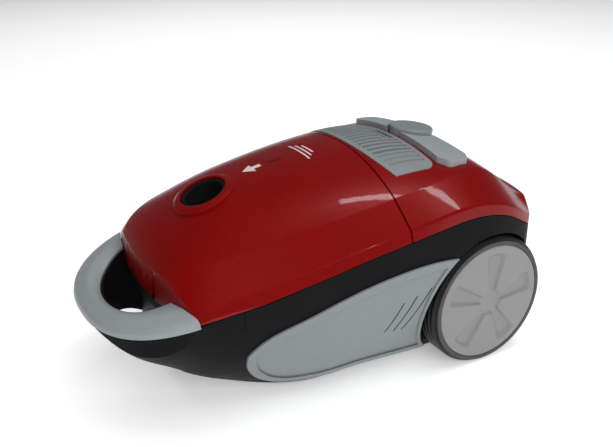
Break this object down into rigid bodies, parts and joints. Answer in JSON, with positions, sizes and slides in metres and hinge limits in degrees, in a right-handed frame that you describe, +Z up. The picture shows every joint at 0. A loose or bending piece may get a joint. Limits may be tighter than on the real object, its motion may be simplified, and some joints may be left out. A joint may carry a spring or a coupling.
{
  "type": "canister vacuum cleaner",
  "caption": "Low two-tone canister vacuum cleaner with a hinged dust lid, front carrying handle, foot pedals, suction knob, large side wheels and a front caster.",
  "frame": {"origin": "on the floor under the middle of the machine's bounding box", "axes": "+X to the machine's left seen from behind the handle looking back, -Y towards the front handle, +Z up"},
  "size_m": [0.275, 0.462, 0.2207],
  "materials": {
    "shell_red": "glossy metallic deep red moulded shell",
    "hull_black": "satin charcoal black moulded hull",
    "trim_silver": "satin blue-grey silver moulding",
    "cap_silver": "satin warm silver hub cap",
    "tyre_rubber": "smooth black tyre with a slight sheen",
    "rim_plastic": "dark moulded rim",
    "seal_rubber": "matt black soft rubber",
    "inner_plastic": "dark grey unpainted moulding",
    "window_clear": "clear smooth window",
    "flag_red": "glossy signal red",
    "steel": "turned and brushed steel",
    "spring_steel": "drawn steel wire",
    "carbon": "pressed carbon",
    "aluminium": "cast and turned aluminium",
    "laminate": "stacked lamination steel with copper windings",
    "foam": "open-cell filter foam",
    "fleece": "white filter fleece",
    "bag_paper": "soft filter fleece dust bag",
    "card": "pressed cardboard",
    "board_green": "solder-masked circuit board"
  },
  "bodies": {
    "chassis": {"lower_chassis": "hull_black", "front_handle": "trim_silver", "rear_cover": "shell_red", "exhaust_grille": "trim_silver", "exhaust_filter": "fleece", "indicator_window": "window_clear", "indicator_tray": "inner_plastic", "filter_partition": "inner_plastic", "lid_hinge_pin": "steel", "pre_motor_filter": "foam", "chamber_seal": "seal_rubber", "bag_plate": "card", "bag_holder": "inner_plastic", "dust_bag": "bag_paper", "motor_front_gasket": "seal_rubber", "fan_cover": "inner_plastic", "motor_can": "steel", "motor_stator": "laminate", "motor_bearings": "steel", "carbon_brushes": "carbon", "motor_rear_mount": "seal_rubber", "motor_bracket": "inner_plastic", "bracket_screws": "steel", "reel_bracket": "inner_plastic", "reel_axle": "steel", "reel_spring": "spring_steel", "brake_pin": "steel", "power_switch": "inner_plastic", "outlet_bush": "seal_rubber", "control_board": "board_green", "suction_control": "inner_plastic", "side_panel_left": "trim_silver", "side_panel_right": "trim_silver", "axle_pin_left": "steel", "axle_pin_right": "steel"},
    "lid": {"dust_lid": "shell_red", "inlet_collar": "hull_black", "inlet_gasket": "seal_rubber", "latch_pin": "steel"},
    "latch": {"lid_latch": "shell_red"},
    "power_button": {"power_pedal": "trim_silver", "power_pedal_spring": "spring_steel"},
    "cord_button": {"cord_pedal": "trim_silver", "cord_pedal_spring": "spring_steel"},
    "knob": {"power_knob": "trim_silver"},
    "flag": {"indicator_flag": "flag_red"},
    "wheel_left": {"wheel_rim_left": "rim_plastic", "tyre_left": "tyre_rubber", "hub_cap_left": "cap_silver"},
    "wheel_right": {"wheel_rim_right": "rim_plastic", "tyre_right": "tyre_rubber", "hub_cap_right": "cap_silver"},
    "caster": {"caster_fork": "inner_plastic", "caster_pin": "steel", "caster_clip": "spring_steel"},
    "caster_roller": {"caster_wheel": "rim_plastic"},
    "motor_rotor": {"impeller": "aluminium", "armature": "laminate"},
    "reel": {"cord_drum": "inner_plastic"},
    "brake": {"brake_lever": "inner_plastic"}
  },
  "joints": [
    {"name": "lid_hinge", "type": "hinge", "parent": "chassis", "child": "lid", "pos_m": [0, 0.0305, 0.21], "axis": [-1, 0, 0], "range_deg": [0, 70]},
    {"name": "latch_hinge", "type": "hinge", "parent": "lid", "child": "latch", "pos_m": [0, -0.17, 0.1414], "axis": [-1, 0, 0], "range_deg": [0, 12], "stiffness_Nm_per_rad": 0.05, "springref_deg": -11.46},
    {"name": "power_press", "type": "slide", "parent": "chassis", "child": "power_button", "axis": [0, 0, -1], "range_m": [0, 0.004], "stiffness_N_per_m": 400, "springref_m": -0.002},
    {"name": "cord_press", "type": "slide", "parent": "chassis", "child": "cord_button", "axis": [0, 0, -1], "range_m": [0, 0.004], "stiffness_N_per_m": 400, "springref_m": -0.002},
    {"name": "knob_turn", "type": "hinge", "parent": "chassis", "child": "knob", "pos_m": [0, 0.1359, 0.20924], "axis": [0, 0.1219, 0.9925], "range_deg": [0, 270]},
    {"name": "flag_slide", "type": "slide", "parent": "chassis", "child": "flag", "axis": [1, 0, 0], "range_m": [0, 0.009]},
    {"name": "wheel_left_spin", "type": "hinge", "parent": "chassis", "child": "wheel_left", "pos_m": [0.12, 0.141, 0.069], "axis": [1, 0, 0], "continuous": true},
    {"name": "wheel_right_spin", "type": "hinge", "parent": "chassis", "child": "wheel_right", "pos_m": [-0.12, 0.141, 0.069], "axis": [1, 0, 0], "continuous": true},
    {"name": "caster_swivel", "type": "hinge", "parent": "chassis", "child": "caster", "pos_m": [0, -0.1, 0.036], "axis": [0, 0, 1], "continuous": true},
    {"name": "caster_spin", "type": "hinge", "parent": "caster", "child": "caster_roller", "pos_m": [0, -0.086, 0.015], "axis": [1, 0, 0], "continuous": true},
    {"name": "motor_spin", "type": "hinge", "parent": "chassis", "child": "motor_rotor", "pos_m": [0.0385, 0.09, 0.085], "axis": [0, 1, 0], "continuous": true},
    {"name": "drum_spin", "type": "hinge", "parent": "chassis", "child": "reel", "pos_m": [-0.058, 0.138, 0.092], "axis": [1, 0, 0], "continuous": true},
    {"name": "brake_turn", "type": "hinge", "parent": "chassis", "child": "brake", "pos_m": [-0.058, 0.114, 0.168], "axis": [-1, 0, 0], "range_deg": [0, 16.5]}
  ],
  "couplings": [
    {"joint": "brake_turn", "follows": "cord_press", "rad_per_m": 69.813}
  ]
}
